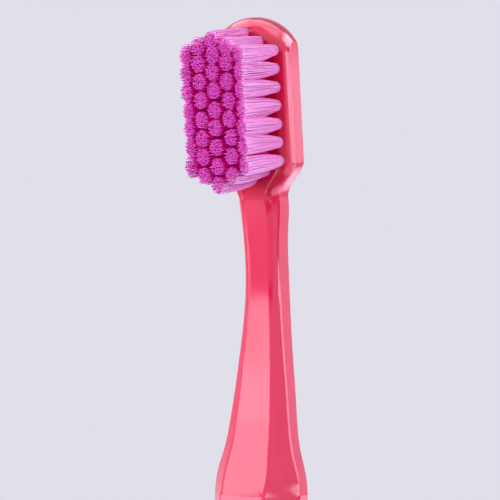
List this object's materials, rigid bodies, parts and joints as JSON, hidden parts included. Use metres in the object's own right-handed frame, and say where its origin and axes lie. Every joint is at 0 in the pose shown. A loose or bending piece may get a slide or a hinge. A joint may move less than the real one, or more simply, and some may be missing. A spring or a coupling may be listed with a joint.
{
  "type": "manual toothbrush",
  "caption": "Manual toothbrush with a bevelled eight-sided grip, a slim bowed neck and a flat rounded head that holds a dense field of soft bristle tufts.",
  "frame": {"origin": "centre of the flat end of the grip", "axes": "+Z along the grip towards the head, bristles to -Y, back of the brush to +Y"},
  "size_m": [0.012, 0.0181, 0.1749],
  "materials": {
    "handle_plastic": "gloss",
    "bristle_filament": "satin",
    "anchor_metal": "bright"
  },
  "bodies": {
    "root": {"handle": "handle_plastic", "tuft_a1": "bristle_filament", "tuft_a2": "bristle_filament", "tuft_a3": "bristle_filament", "tuft_a4": "bristle_filament", "tuft_a5": "bristle_filament", "tuft_a6": "bristle_filament", "tuft_a7": "bristle_filament", "tuft_b1": "bristle_filament", "tuft_b2": "bristle_filament", "tuft_b3": "bristle_filament", "tuft_b4": "bristle_filament", "tuft_b5": "bristle_filament", "tuft_b6": "bristle_filament", "tuft_b7": "bristle_filament", "tuft_b8": "bristle_filament", "tuft_c1": "bristle_filament", "tuft_c2": "bristle_filament", "tuft_c3": "bristle_filament", "tuft_c4": "bristle_filament", "tuft_c5": "bristle_filament", "tuft_c6": "bristle_filament", "tuft_c7": "bristle_filament", "tuft_c8": "bristle_filament", "tuft_c9": "bristle_filament", "tuft_d1": "bristle_filament", "tuft_d2": "bristle_filament", "tuft_d3": "bristle_filament", "tuft_d4": "bristle_filament", "tuft_d5": "bristle_filament", "tuft_d6": "bristle_filament", "tuft_d7": "bristle_filament", "tuft_d8": "bristle_filament", "tuft_e1": "bristle_filament", "tuft_e2": "bristle_filament", "tuft_e3": "bristle_filament", "tuft_e4": "bristle_filament", "tuft_e5": "bristle_filament", "tuft_e6": "bristle_filament", "tuft_e7": "bristle_filament", "tuft_anchors": "anchor_metal"}
  },
  "joints": []
}
